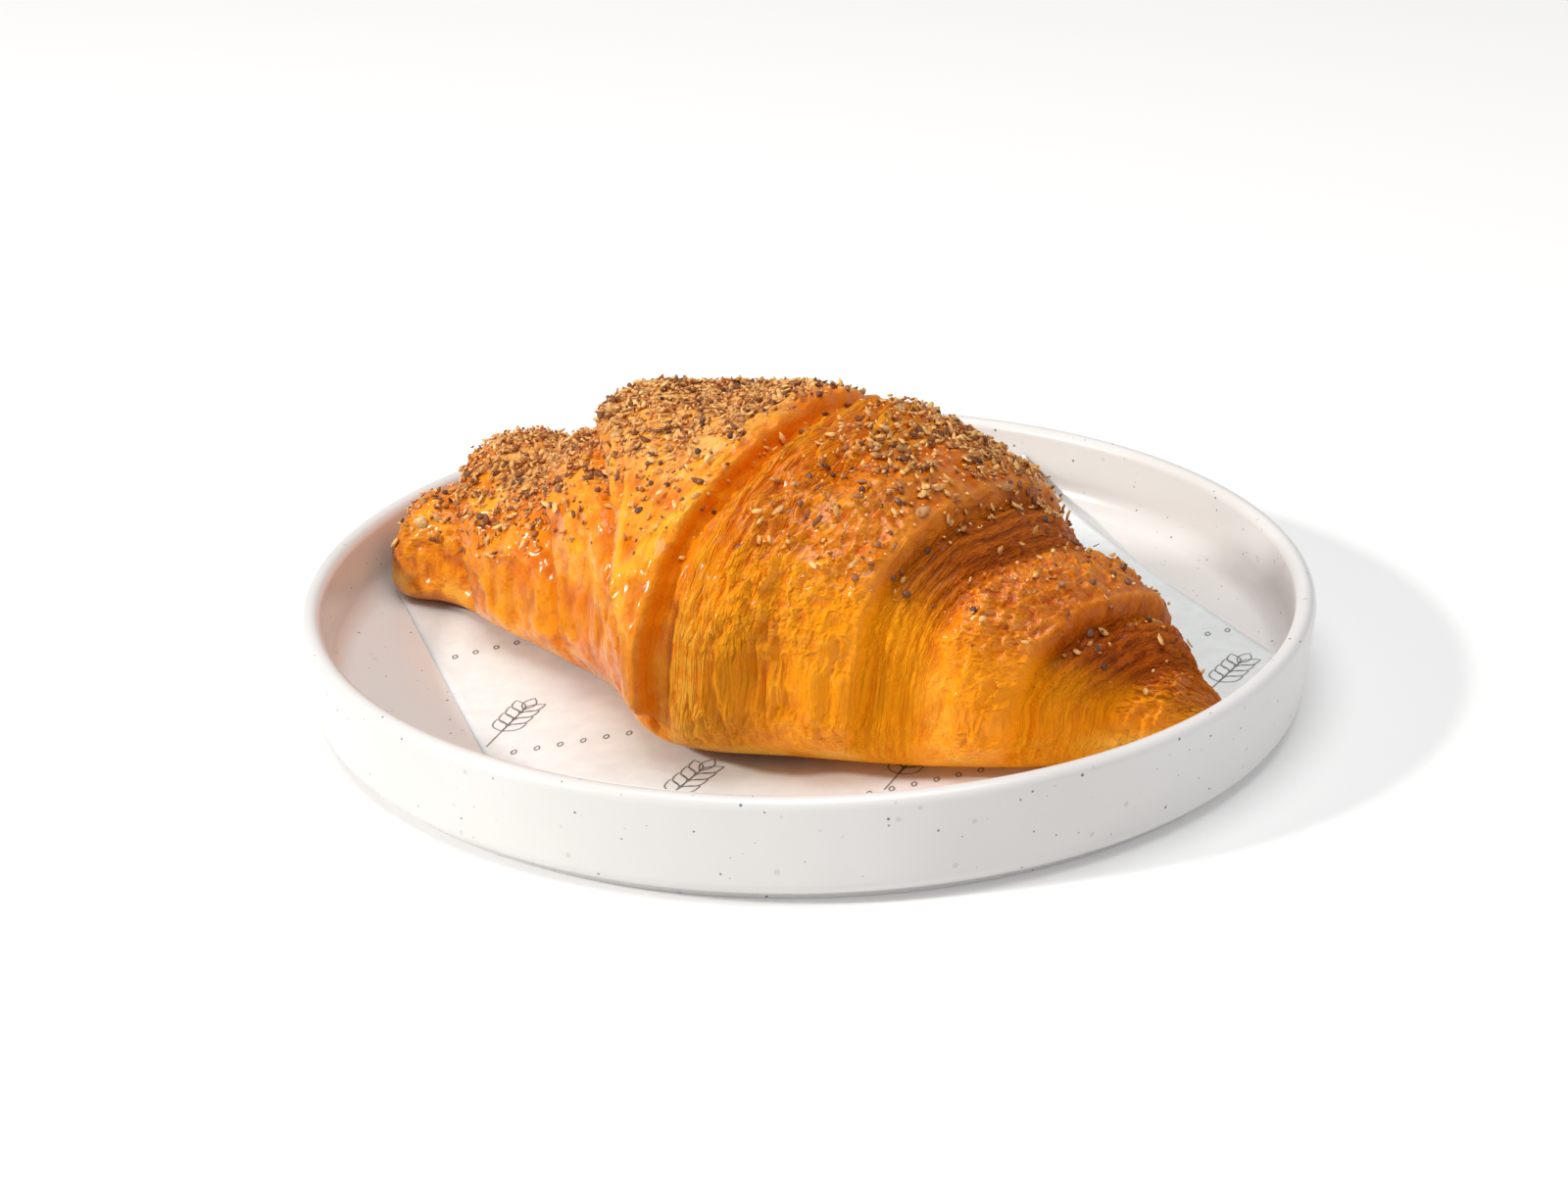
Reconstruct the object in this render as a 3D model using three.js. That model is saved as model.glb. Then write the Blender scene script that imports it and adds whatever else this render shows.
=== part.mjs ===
// A croissant with a za'atar topping, lying on a sheet of greaseproof paper in a low-walled plate.
// Millimetres, +Z up. The origin is the centre of the plate's foot, on the table; +X is to the
// right and +Y to the back when the plate is seen from its front.
import * as THREE from 'three';

// ---- driving dimensions ----------------------------------------------------------------------

const GAP = 0.3; // clearance between pieces that lie on each other

const PLATE = {
  radius: 100, // outside of the lip
  height: 21.5,
  wall: 4, // across the lip
  floorTop: 5.8, // upper face of the well's floor
  fillet: 5, // between the floor and the wall, inside
  heel: 3, // rounding under the wall, outside
  heelRadius: 98.4, // outside of the wall, just above the heel
  footInner: 88, // the foot is a ring that stands proud of the underside
  footOuter: 95,
  footHeight: 1.5,
  segments: 72,
};

const LINER = {
  thickness: 0.3,
  backLeft: new THREE.Vector2(-90, 46), // corners of the flat sheet that lie at the back
  backRight: new THREE.Vector2(50, 84),
  leftTurn: 17.3, // degrees that each side edge turns away from -Y
  rightTurn: 24.5,
  reach: 104, // the front is tucked up the wall: flat distance from the centre to its edge
  wallGap: 0.6, // from the wall of the plate to the paper
  bend: 5, // radius of the bend where the paper climbs the wall
  frontBend: 9, // added to that radius at the front, where the sheet springs up early
  frontAngle: -110, // degrees, where it springs up most
  cornerLift: 5, // the free back right corner curls up
  cornerLength: 60,
  across: 20,
  along: 24,
};

const CROISSANT = {
  tipA: new THREE.Vector2(-86, 38), // the two tips of the roll's axis
  tipB: new THREE.Vector2(77, -52),
  cap: 11, // length of the rounding at each tip
  capLift: 5, // how far a tip's centre rises from the paper
  bellyHeight: 0.42, // height of the widest line, as a part of the section's height
  upperPower: 2.3, // superellipse powers: a round back on a flattened base
  lowerPower: 4.5,
  stepRise: 1.6, // a wrap's edge climbs to its full height over this length
  stepDecay: 16, // and sinks back into the roll over this one
  edgeTurn: 35, // degrees: the slanting edges reach furthest back on this line
  along: 76,
  around: 40,
};

// Sections of the roll: place along its axis, height, half width, and shift towards the back.
const SECTIONS = [
  { at: 0, height: 16, half: 13, shift: 1 },
  { at: 19, height: 28, half: 20.5, shift: 10 },
  { at: 38, height: 32.5, half: 26.6, shift: 7.3 },
  { at: 57, height: 46, half: 31.3, shift: 2.9 },
  { at: 72, height: 51, half: 34.7, shift: -1 },
  { at: 95, height: 55.5, half: 46, shift: -8.5 },
  { at: 120, height: 56, half: 37.5, shift: -10.5 },
  { at: 142, height: 43, half: 32, shift: -7 },
  { at: 157, height: 33, half: 23, shift: -6.5 },
  { at: 168, height: 26.5, half: 15.5, shift: -5 },
  { at: 187, height: 14.5, half: 4, shift: 0.5 },
];

// Edges of the rolled-up layers. at: where the edge crosses the roll, slant: how far it leans
// along the roll between back and front, height: the step. Edges in RISING step up towards tip B,
// edges in FALLING step down towards it, and FOLDS are the soft valleys between two wraps.
const RISING = [
  { at: 20, slant: 9.5, height: 2.8 },
  { at: 47.5, slant: 16, height: 1.6 },
  { at: 66.5, slant: 26, height: 3.2 },
];
const FALLING = [
  { at: 99.6, slant: -5.6, height: 3.0 },
  { at: 137, slant: -5.8, height: 2.6 },
  { at: 163, slant: -8, height: 3.0 },
];
const FOLDS = [
  { at: 104, slant: -5.6, height: 1.0 },
  { at: 145.5, slant: -6.5, height: 2.4 },
  { at: 175, slant: -7.5, height: 2.0 },
];
const FOLD_WIDTH = 5;

// The topping lies in two crusts on the roll's back; the ranges are parts of the croissant's grid.
const TOPPING = {
  thickness: 0.9,
  gap: 0.35,
  patches: [
    { name: 'zaatar_topping_left', fromRow: 9, toRow: 37, fromAngle: 36, toAngle: 117 },
    { name: 'zaatar_topping_right', fromRow: 46, toRow: 57, fromAngle: 45, toAngle: 108 },
  ],
};

const SEED = { length: 3.1, width: 1.9, thickness: 0.9, count: 24, gap: 0.4 };

// ---- finishes --------------------------------------------------------------------------------

const FINISH = {
  stoneware: new THREE.MeshStandardMaterial({ color: 0xf1eeeb, roughness: 0.32, metalness: 0 }),
  paper: new THREE.MeshStandardMaterial({ color: 0xf3f1ee, roughness: 0.75, metalness: 0 }),
  crust: new THREE.MeshStandardMaterial({ color: 0xd98020, roughness: 0.38, metalness: 0 }),
  herbs: new THREE.MeshStandardMaterial({ color: 0x8a6a34, roughness: 0.85, metalness: 0 }),
  sesame: new THREE.MeshStandardMaterial({ color: 0xc9924a, roughness: 0.55, metalness: 0 }),
};

// ---- helpers ---------------------------------------------------------------------------------

const radians = THREE.MathUtils.degToRad;
const liesOn = PLATE.floorTop + GAP; // underside of the paper
const breadBase = liesOn + LINER.thickness + GAP; // underside of the croissant

function addPiece(group, name, geometry, material) {
  const mesh = new THREE.Mesh(geometry, material);
  mesh.name = name;
  group.add(mesh);
  return mesh;
}

// Moves every vertex of a geometry; place(x, y, z) gives its new position as a Vector3.
function reshape(geometry, place) {
  const points = geometry.attributes.position;
  for (let i = 0; i < points.count; i += 1) {
    const moved = place(points.getX(i), points.getY(i), points.getZ(i));
    points.setXYZ(i, moved.x, moved.y, moved.z);
  }
  geometry.computeVertexNormals();
  return geometry;
}

// ---- plate -----------------------------------------------------------------------------------

function makePlate() {
  const inner = PLATE.radius - PLATE.wall;
  const lip = PLATE.wall / 2;
  const shoulder = PLATE.height - lip;
  const profile = new THREE.Path();
  profile.moveTo(0, PLATE.footHeight);
  profile.lineTo(PLATE.footInner - 1, PLATE.footHeight);
  profile.lineTo(PLATE.footInner, 0);
  profile.lineTo(PLATE.footOuter, 0);
  profile.lineTo(PLATE.footOuter + 0.6, PLATE.footHeight);
  profile.quadraticCurveTo(
    PLATE.heelRadius, PLATE.footHeight, PLATE.heelRadius, PLATE.footHeight + PLATE.heel);
  profile.lineTo(PLATE.radius, shoulder);
  profile.absarc(PLATE.radius - lip, shoulder, lip, 0, Math.PI, false);
  profile.lineTo(inner, PLATE.floorTop + PLATE.fillet);
  profile.absarc(
    inner - PLATE.fillet, PLATE.floorTop + PLATE.fillet, PLATE.fillet, 0, -Math.PI / 2, true);
  profile.lineTo(0, PLATE.floorTop);
  const plate = new THREE.LatheGeometry(profile.getPoints(5), PLATE.segments);
  return plate.rotateX(Math.PI / 2);
}

// ---- paper liner -----------------------------------------------------------------------------

// A point of the flat sheet, from u = 0 at its left edge to 1, and v = 0 at its back edge to 1.
function flatLiner(u, v) {
  const start = new THREE.Vector2().lerpVectors(LINER.backLeft, LINER.backRight, u);
  const turn = radians(THREE.MathUtils.lerp(LINER.leftTurn, LINER.rightTurn, u));
  const heading = new THREE.Vector2(Math.sin(turn), -Math.cos(turn));
  const half = start.dot(heading);
  const length = Math.sqrt(half ** 2 - start.lengthSq() + LINER.reach ** 2) - half;
  return start.addScaledVector(heading, length * v);
}

// The sheet lies on the floor and bends up the wall: side is 0 on its underside and 1 on top.
function linerPoint(u, v, side) {
  const flat = flatLiner(u, v);
  const radius = flat.length();
  const angle = Math.atan2(flat.y, flat.x);
  const front = Math.max(0, Math.cos(angle - radians(LINER.frontAngle)));
  const bend = LINER.bend + LINER.frontBend * front ** 4;
  const wallRadius = PLATE.radius - PLATE.wall - LINER.wallGap;
  const bendStart = wallRadius - bend;
  const turned = THREE.MathUtils.clamp((radius - bendStart) / bend, 0, Math.PI / 2);
  const climbed = Math.max(0, radius - bendStart - bend * Math.PI / 2);
  const arm = bend - side * LINER.thickness;
  const out = turned > 0 ? bendStart + arm * Math.sin(turned) : radius;
  const corner = flat.distanceTo(LINER.backRight) / LINER.cornerLength;
  const lift = LINER.cornerLift * Math.max(0, 1 - corner) ** 1.5;
  const up = bend - arm * Math.cos(turned) + climbed + lift;
  return new THREE.Vector3(out * Math.cos(angle), out * Math.sin(angle), liesOn + up);
}

function makeLiner() {
  const sheet = new THREE.BoxGeometry(1, 1, 1, LINER.across, LINER.along, 1);
  return reshape(sheet, (x, y, z) => linerPoint(x + 0.5, 0.5 - y, z + 0.5));
}

// ---- croissant -------------------------------------------------------------------------------

const axis = new THREE.Vector2().subVectors(CROISSANT.tipB, CROISSANT.tipA);
const rollLength = axis.length();
axis.normalize();
const across = new THREE.Vector2(-axis.y, axis.x); // towards the back of the plate

// A smooth curve through one column of SECTIONS.
function section(key, s) {
  const last = SECTIONS.length - 1;
  let i = SECTIONS.findIndex((row) => row.at > s) - 1;
  if (i < 0) i = last - 1;
  const slope = (k) => {
    const a = SECTIONS[Math.max(0, k - 1)];
    const b = SECTIONS[Math.min(last, k + 1)];
    return (b[key] - a[key]) / (b.at - a.at);
  };
  const from = SECTIONS[i];
  const to = SECTIONS[i + 1];
  const span = to.at - from.at;
  const t = (s - from.at) / span;
  return (2 * t ** 3 - 3 * t ** 2 + 1) * from[key] + (t ** 3 - 2 * t ** 2 + t) * span * slope(i)
    + (3 * t ** 2 - 2 * t ** 3) * to[key] + (t ** 3 - t ** 2) * span * slope(i + 1);
}

// Height of a layer's edge at a distance past it.
function edgeStep(distance) {
  if (distance <= 0) return 0;
  const climb = 1 - Math.exp(-((distance / CROISSANT.stepRise) ** 2));
  return climb * Math.exp(-distance / CROISSANT.stepDecay);
}

// How far the rolled layers stand out of the smooth roll, at s along it and an angle round it.
function layers(s, angle) {
  const wave = -Math.cos(angle - radians(CROISSANT.edgeTurn));
  let out = 0;
  for (const edge of RISING) out += edge.height * edgeStep(s - edge.at - edge.slant * wave);
  for (const edge of FALLING) out += edge.height * edgeStep(edge.at + edge.slant * wave - s);
  for (const fold of FOLDS) {
    out -= fold.height * Math.exp(-(((s - fold.at - fold.slant * wave) / FOLD_WIDTH) ** 2));
  }
  return out;
}

const power = (value, exponent) => Math.sign(value) * Math.abs(value) ** exponent;

// A point on the crust, or a distance proud of it. The angle is 0 at the back and 90 on top.
function crustPoint(s, angle, proud = 0) {
  const fromTip = Math.min(s, rollLength - s);
  const inCap = Math.max(0, (CROISSANT.cap - fromTip) / CROISSANT.cap);
  const cap = Math.sqrt(Math.max(0, 1 - inCap ** 2));
  const height = section('height', s) * cap;
  const belly = CROISSANT.bellyHeight * height;
  const rise = Math.sin(angle);
  const round = 2 / (rise > 0 ? CROISSANT.upperPower : CROISSANT.lowerPower);
  const side = power(Math.cos(angle), round);
  const up = power(rise, round);
  const fade = THREE.MathUtils.clamp(rise * 1.5 + 0.6, 0, 1) * cap * (0.3 + 0.7 * cap);
  const out = layers(s, angle) * fade + proud;
  const off = section('shift', s) + side * (section('half', s) * cap + out);
  const z = belly + up * (up > 0 ? height - belly + out : belly) + (1 - cap) * CROISSANT.capLift;
  const foot = CROISSANT.tipA.clone().addScaledVector(axis, s).addScaledVector(across, off);
  return new THREE.Vector3(foot.x, foot.y, breadBase + z);
}

// Rows of the grid are closer together at the tips.
function rowPlace(row) {
  const t = row / CROISSANT.along;
  return rollLength * (0.75 * t + 0.125 * (1 - Math.cos(Math.PI * t)));
}

function makeCroissant() {
  const ball = new THREE.SphereGeometry(1, CROISSANT.around, CROISSANT.along);
  return reshape(ball, (x, y, z) => {
    const row = CROISSANT.along * Math.acos(THREE.MathUtils.clamp(y, -1, 1)) / Math.PI;
    return crustPoint(rowPlace(Math.round(row)), Math.atan2(z, x));
  });
}

// ---- topping ---------------------------------------------------------------------------------

// A crust of herbs that keeps to the croissant's own grid, so that it follows every layer.
function makePatch({ fromRow, toRow, fromAngle, toAngle }) {
  const step = 360 / CROISSANT.around;
  const from = Math.round(fromAngle / step);
  const columns = Math.round(toAngle / step) - from;
  const rows = toRow - fromRow;
  const patch = new THREE.BoxGeometry(columns, rows, 1, columns, rows, 1);
  return reshape(patch, (x, y, z) => {
    const angle = radians((from + x + columns / 2) * step);
    const s = rowPlace(fromRow + rows / 2 + y);
    return crustPoint(s, angle, TOPPING.gap + (z + 0.5) * TOPPING.thickness);
  });
}

// Single seeds are scattered along the front of the roll, below the herbs.
function placeSeed(mesh, index) {
  const golden = (index * 0.618034) % 1;
  const s = 27 + 138 * ((index + 0.5) / SEED.count);
  const angle = radians(126 + 30 * golden);
  const nudge = 1.5;
  const here = crustPoint(s, angle);
  const along = crustPoint(s + nudge, angle).sub(crustPoint(s - nudge, angle));
  const round = crustPoint(s, angle + 0.05).sub(crustPoint(s, angle - 0.05));
  const normal = new THREE.Vector3().crossVectors(round, along).normalize();
  const tangent = along.normalize().applyAxisAngle(normal, golden * Math.PI * 2);
  const side = new THREE.Vector3().crossVectors(normal, tangent);
  const proud = SEED.gap + SEED.thickness / 2 + 0.35;
  mesh.quaternion.setFromRotationMatrix(new THREE.Matrix4().makeBasis(tangent, side, normal));
  mesh.position.copy(here.addScaledVector(normal, proud));
}

function makeSeed() {
  const seed = new THREE.SphereGeometry(0.5, 8, 5);
  seed.rotateX(Math.PI / 2);
  return reshape(seed, (x, y, z) => new THREE.Vector3(
    x * SEED.length, y * SEED.width * (1 - 0.7 * x), z * SEED.thickness));
}

// ---- the part --------------------------------------------------------------------------------

const group = new THREE.Group();
addPiece(group, 'plate', makePlate(), FINISH.stoneware);
addPiece(group, 'liner_paper', makeLiner(), FINISH.paper);
addPiece(group, 'croissant', makeCroissant(), FINISH.crust);
for (const patch of TOPPING.patches) {
  addPiece(group, patch.name, makePatch(patch), FINISH.herbs);
}
for (let index = 0; index < SEED.count; index += 1) {
  const name = `sesame_seed_${String(index + 1).padStart(2, '0')}`;
  placeSeed(addPiece(group, name, makeSeed(), FINISH.sesame), index);
}

export default group;
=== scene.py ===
# %% [markdown]
# # A croissant with za'atar, on a paper liner, in a low-walled plate
#
# The frame holds the real sizes: a plate 200 mm across, a sheet of greaseproof paper and a rolled,
# baked croissant. This lesson gives each of them its finished shape and surface in Blender, without
# moving anything. The first cell loads the frame and a helper that reads the box of a CAD part.

# %% Load the frame
import itertools
import math

import bmesh
import bpy
import numpy as np
from mathutils import Matrix, Vector


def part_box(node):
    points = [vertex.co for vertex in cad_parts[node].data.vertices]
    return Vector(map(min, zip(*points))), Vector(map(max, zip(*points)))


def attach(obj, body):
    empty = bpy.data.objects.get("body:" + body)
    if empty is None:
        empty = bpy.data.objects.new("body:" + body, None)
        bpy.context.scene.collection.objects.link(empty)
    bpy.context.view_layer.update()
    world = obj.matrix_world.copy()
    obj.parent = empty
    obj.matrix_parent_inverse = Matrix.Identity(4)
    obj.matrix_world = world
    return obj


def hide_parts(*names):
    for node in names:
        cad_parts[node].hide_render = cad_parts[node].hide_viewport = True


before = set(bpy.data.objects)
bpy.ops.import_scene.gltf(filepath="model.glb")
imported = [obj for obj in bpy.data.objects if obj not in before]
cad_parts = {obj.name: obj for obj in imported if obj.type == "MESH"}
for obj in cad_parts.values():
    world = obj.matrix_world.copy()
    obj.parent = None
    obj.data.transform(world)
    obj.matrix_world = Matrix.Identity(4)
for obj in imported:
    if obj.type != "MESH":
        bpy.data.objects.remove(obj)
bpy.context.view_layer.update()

MM = 0.001

# %% [markdown]
# ## Camera
#
# The dish is seen from a seat at a table, through a short telephoto lens: 24 degrees above the
# table, 65 cm away. The camera first looks at the middle of the plate's foot, then it is panned,
# tilted and rolled by a degree or so, as a hand-held one is.

# %% Camera
DISTANCE = 0.65
ELEVATION = math.radians(24.355)
PAN, TILT, ROLL = (math.radians(a) for a in (0.417, 1.527, -1.28))
FOCAL_LENGTH, SENSOR_WIDTH = 74.12, 36  # millimetres, on the camera's own scale

camera = bpy.data.objects.new("camera", bpy.data.cameras.new("camera"))
camera.data.lens = FOCAL_LENGTH
camera.data.sensor_width = SENSOR_WIDTH
look = Matrix.Rotation(math.pi / 2 - ELEVATION, 4, "X")
for angle, axis in ((PAN, "Y"), (TILT, "X"), (ROLL, "Z")):
    look = look @ Matrix.Rotation(angle, 4, axis)
away = Vector((0, -math.cos(ELEVATION), math.sin(ELEVATION)))
camera.matrix_world = Matrix.Translation(away * DISTANCE) @ look
bpy.context.collection.objects.link(camera)
bpy.context.scene.camera = camera
print("camera at", [round(c, 3) for c in camera.matrix_world.translation])

# %% [markdown]
# ## Light and floor
#
# One lamp stands low at the left and a little in front of the plate. It rakes over the crust, so
# the left face of every layer is bright and the right face falls into shade. White surroundings
# fill the shade, as white cards do in a studio. The floor is a plain pale sheet under everything.
# It glows a little, so that the shadow on it stays pale.

# %% Light and floor
TOWARDS_LAMP = (-0.811, -0.270, 0.520)
ROOM_COLOUR, ROOM_STRENGTH = (0.97, 0.98, 1.0, 1), 0.34
FLOOR_COLOUR, FLOOR_GLOW = (0.82, 0.82, 0.82, 1), 0.14


def area_lamp(name, towards, distance, size, power, colour):
    """A round lamp that shines on the middle of the plate; metres and watts."""
    lamp = bpy.data.objects.new(name, bpy.data.lights.new(name, "AREA"))
    lamp.data.shape = "DISK"
    lamp.data.size = size
    lamp.data.energy = power
    lamp.data.color = colour
    towards = Vector(towards).normalized()
    lamp.matrix_world = (
        Matrix.Translation(towards * distance) @ towards.to_track_quat("Z", "Y").to_matrix().to_4x4()
    )
    bpy.context.collection.objects.link(lamp)


area_lamp("key_lamp", TOWARDS_LAMP, distance=2.4, size=0.26, power=37, colour=(1.0, 0.965, 0.91))
area_lamp("overhead_card", (0.0, -0.15, 1.0), distance=1.8, size=1.6, power=21,
          colour=(1.0, 0.99, 0.98))

world = bpy.data.worlds.new("white_room")
world.use_nodes = True
background = world.node_tree.nodes["Background"].inputs
background["Color"].default_value = ROOM_COLOUR
background["Strength"].default_value = ROOM_STRENGTH
bpy.context.scene.world = world
bpy.context.scene.view_settings.view_transform = "Standard"

floor_mesh = bmesh.new()
bmesh.ops.create_grid(floor_mesh, x_segments=1, y_segments=1, size=4)
floor = bpy.data.objects.new("floor", bpy.data.meshes.new("floor"))
floor_mesh.to_mesh(floor.data)
floor_mesh.free()
bpy.context.collection.objects.link(floor)
floor_paint = bpy.data.materials.new("floor_paint")
floor_paint.use_nodes = True
floor_look = floor_paint.node_tree.nodes["Principled BSDF"].inputs
for socket, value in (("Base Color", FLOOR_COLOUR), ("Roughness", 0.9),
                      ("Emission Color", (1, 1, 1, 1)), ("Emission Strength", FLOOR_GLOW)):
    floor_look[socket].default_value = value
floor.data.materials.append(floor_paint)

# %% [markdown]
# ## A helper that finishes a piece
#
# Every piece starts as a bmesh or a mesh. `finish_piece` turns it into a smooth-shaded object with
# one material that rides on the only body, `root`, and hides the CAD nodes that it stands for.

# %% Helpers for pieces
def finish_piece(name, shape, material, replaced=()):
    """Makes a bmesh or a mesh an object that rides on root and stands for the CAD nodes named."""
    mesh = shape
    if isinstance(shape, bmesh.types.BMesh):
        mesh = bpy.data.meshes.new(name)
        shape.to_mesh(mesh)
        shape.free()
    mesh.shade_smooth()
    piece = bpy.data.objects.new(name, mesh)
    bpy.context.collection.objects.link(piece)
    mesh.materials.append(material)
    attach(piece, "root")
    if replaced:
        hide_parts(*replaced)
    print(f"{name}: {len(mesh.polygons)} faces")
    return piece


# %% [markdown]
# ## Shader maths as Python expressions
#
# The finishes below mix many masks, which is slow to write node by node. `Field` wraps one socket
# of a node tree, so that an expression such as `1 - mask * 2` adds the Math nodes for it.
# `Shader.node` makes any other node from its type, its settings and its inputs.

# %% Helpers for shaders
class Field:
    """One socket of a node tree; arithmetic on it adds Math nodes."""

    def __init__(self, shader, socket):
        self.shader, self.socket = shader, socket

    def math(self, operation, *values, clamp=False):
        settings = {"operation": operation, "use_clamp": clamp}
        return self.shader.node("ShaderNodeMath", settings, dict(enumerate((self, *values))))

    def __add__(self, other): return self.math("ADD", other)
    def __sub__(self, other): return self.math("SUBTRACT", other)
    def __rsub__(self, other): return self.shader.value(other).math("SUBTRACT", self)
    def __mul__(self, other): return self.math("MULTIPLY", other)
    def __truediv__(self, other): return self.math("DIVIDE", other)
    def __pow__(self, other): return self.math("POWER", other)

    def ramp(self, low, high):
        """0 below low, 1 above high, smooth between; low may be the higher of the two."""
        inputs = {"Value": self, "From Min": low, "From Max": high}
        return self.shader.node("ShaderNodeMapRange", {"interpolation_type": "SMOOTHSTEP"}, inputs)


class Shader:
    """A material's node tree, with its Principled shader and methods that add nodes."""

    def __init__(self, name, **constants):
        self.material = bpy.data.materials.new(name)
        self.material.use_nodes = True
        self.tree = self.material.node_tree
        self.principled = self.tree.nodes["Principled BSDF"]
        for socket, value in constants.items():
            self.principled.inputs[socket.replace("_", " ")].default_value = value

    def node(self, kind, settings=None, inputs=None, output=0):
        node = self.tree.nodes.new(kind)
        for key, value in (settings or {}).items():
            setattr(node, key, value)
        for key, value in (inputs or {}).items():
            self.feed(node.inputs[key], value)
        return Field(self, node.outputs[output])

    def feed(self, socket, value):
        if isinstance(value, Field):
            self.tree.links.new(value.socket, socket)
        else:
            socket.default_value = value

    def value(self, number):
        """A number as a Field, for expressions that start with one."""
        return self.node("ShaderNodeMath", {"operation": "ADD"}, {0: number, 1: 0.0})

    def attribute(self, name, output="Fac"):
        return self.node("ShaderNodeAttribute", {"attribute_name": name}, output=output)

    def place(self, scale=(1, 1, 1), source=None):
        """Object coordinates, or a vector field, scaled along each axis."""
        source = source or self.node("ShaderNodeTexCoord", output="Object")
        return self.node("ShaderNodeMapping", {}, {"Vector": source, "Scale": scale})

    def noise(self, scale, detail=2.0, roughness=0.5, vector=None):
        inputs = {"Vector": vector or self.place(), "Scale": scale, "Detail": detail,
                  "Roughness": roughness}
        return self.node("ShaderNodeTexNoise", {}, inputs, output="Fac")

    def mix(self, factor, first, second, blend="MIX"):
        """Mixes two colours, each a Field or an (r, g, b)."""
        settings = {"data_type": "RGBA", "blend_type": blend}
        colours = [c if isinstance(c, Field) else (*c, 1) for c in (first, second)]
        inputs = {0: factor, 6: colours[0], 7: colours[1]}
        return self.node("ShaderNodeMix", settings, inputs, output=2)

    def bump(self, height, distance, strength):
        inputs = {"Height": height, "Distance": distance, "Strength": strength}
        return self.node("ShaderNodeBump", {}, inputs)

    def surface(self, **fields):
        """Feeds the Principled shader's sockets by name and gives the finished material."""
        for socket, value in fields.items():
            self.feed(self.principled.inputs[socket.replace("_", " ")], value)
        return self.material


# %% [markdown]
# ## Stoneware of the plate
#
# The glaze is off-white, between satin and gloss, and slightly uneven. Sparse grey and blue-grey
# specks of iron show through it. A Voronoi texture puts one point in each small cell of space;
# only the cells whose random colour passes a limit show a speck, and each gets its own size.

# %% Stoneware
def specks(shader, cell, share, radius):
    """A mask of round specks: one in a share of the cells, of up to a radius."""
    inputs = {"Vector": shader.place(), "Scale": 1 / cell, "Randomness": 1.0}
    texture = shader.node("ShaderNodeTexVoronoi", {"feature": "F1"}, inputs)
    colour = Field(shader, texture.socket.node.outputs["Color"])
    split = shader.node("ShaderNodeSeparateColor", {}, {0: colour})
    chance, size = split, Field(shader, split.socket.node.outputs[1])
    reach = (size * 0.75 + 0.25) * (radius / cell)
    edge = (reach - texture) / (0.25 * radius / cell)
    return edge.math("ADD", 0.0, clamp=True) * chance.ramp(share, share - 0.01)


def stoneware():
    shader = Shader("stoneware_glaze", Roughness=0.3, Coat_Weight=0.25, Coat_Roughness=0.12)
    cloudy = shader.noise(18, detail=3)
    glaze = shader.mix(cloudy.ramp(0.35, 0.7), (0.73, 0.71, 0.69), (0.78, 0.765, 0.75))
    faint = specks(shader, 3.4 * MM, 0.5, 0.7 * MM)
    dark = specks(shader, 2.1 * MM, 0.42, 0.36 * MM)
    colour = shader.mix(faint * 0.35, glaze, (0.36, 0.40, 0.44))
    colour = shader.mix(dark * 0.85, colour, (0.07, 0.075, 0.09))
    wavy = shader.noise(35, detail=2)
    return shader.surface(
        Base_Color=colour,
        Roughness=cloudy * 0.12 + 0.24,
        Normal=shader.bump(wavy, 0.3 * MM, 0.25),
    )


# %% [markdown]
# ## Plate
#
# The plate was pressed on a wheel, so it is one outline turned round the vertical axis. The outline
# runs from the middle of the underside over the foot ring, up the outer wall, over the round lip
# and back along the floor of the well. `spin` turns it, and its first and last points lie on the
# axis, where they are merged into closed poles.

# %% Plate
_, plate_high = (Vector(corner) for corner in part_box("plate"))
PLATE_RADIUS = plate_high.x
PLATE_HEIGHT = plate_high.z
WALL = 4 * MM
FLOOR_TOP = 5.8 * MM
FILLET = 5 * MM
UNDERSIDE = 1.5 * MM
FOOT_INNER, FOOT_OUTER, FOOT_ROUND = 87.9 * MM, 94.3 * MM, 0.7 * MM
HEEL_WIDTH, HEEL_HEIGHT = 3.9 * MM, 3.4 * MM
LIP = WALL / 2
SHOULDER = PLATE_HEIGHT - LIP
INNER_RADIUS = PLATE_RADIUS - WALL


def arc(centre, radii, start, end, steps):
    """Points on an ellipse's arc in the outline's plane, angles in degrees."""
    angles = [math.radians(start + (end - start) * i / steps) for i in range(steps + 1)]
    return [(centre[0] + radii[0] * math.cos(a), centre[1] + radii[1] * math.sin(a)) for a in angles]


outline = [(0, UNDERSIDE), (86.6 * MM, UNDERSIDE)]
outline += arc((FOOT_INNER, FOOT_ROUND), (FOOT_ROUND, FOOT_ROUND), 180, 270, 4)
outline += arc((FOOT_OUTER, FOOT_ROUND), (FOOT_ROUND, FOOT_ROUND), 270, 360, 4)
outline += arc((94.6 * MM, 4.9 * MM), (HEEL_WIDTH, HEEL_HEIGHT), -80, 0, 10)
outline += arc((PLATE_RADIUS - LIP, SHOULDER), (LIP, LIP), 0, 180, 16)
outline += arc((INNER_RADIUS - FILLET, FLOOR_TOP + FILLET), (FILLET, FILLET), 0, -90, 12)
outline += [(60 * MM, FLOOR_TOP), (0, FLOOR_TOP)]

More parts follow.
